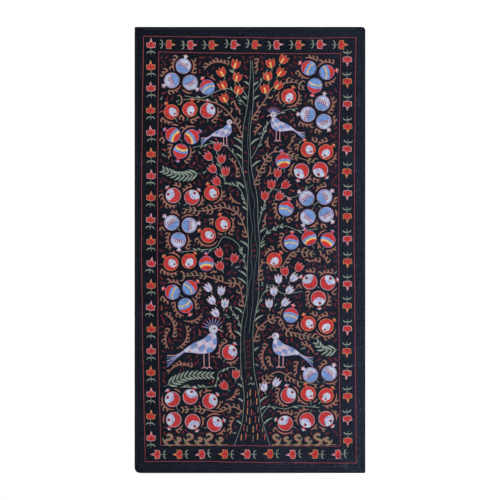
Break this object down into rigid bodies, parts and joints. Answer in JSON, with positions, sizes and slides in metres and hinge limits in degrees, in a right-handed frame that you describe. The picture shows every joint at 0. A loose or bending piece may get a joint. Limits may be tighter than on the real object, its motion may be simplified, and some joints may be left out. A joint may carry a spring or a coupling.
{
  "type": "suzani embroidered textile",
  "caption": "Flat rectangular dark cotton wall cloth with a narrow hem, covered in chain-stitched pomegranates, tulips and birds round a tree, inside a tulip border.",
  "frame": {"origin": "centre of the cloth's underside, where it lies on the surface", "axes": "+Z out of the sewn face, +Y along the length towards the top of the tree"},
  "size_m": [1.06, 2.05, 0.0034],
  "materials": {
    "dark_cotton": "matte"
  },
  "bodies": {
    "root": {"suzani_cloth": "dark_cotton"}
  },
  "joints": []
}
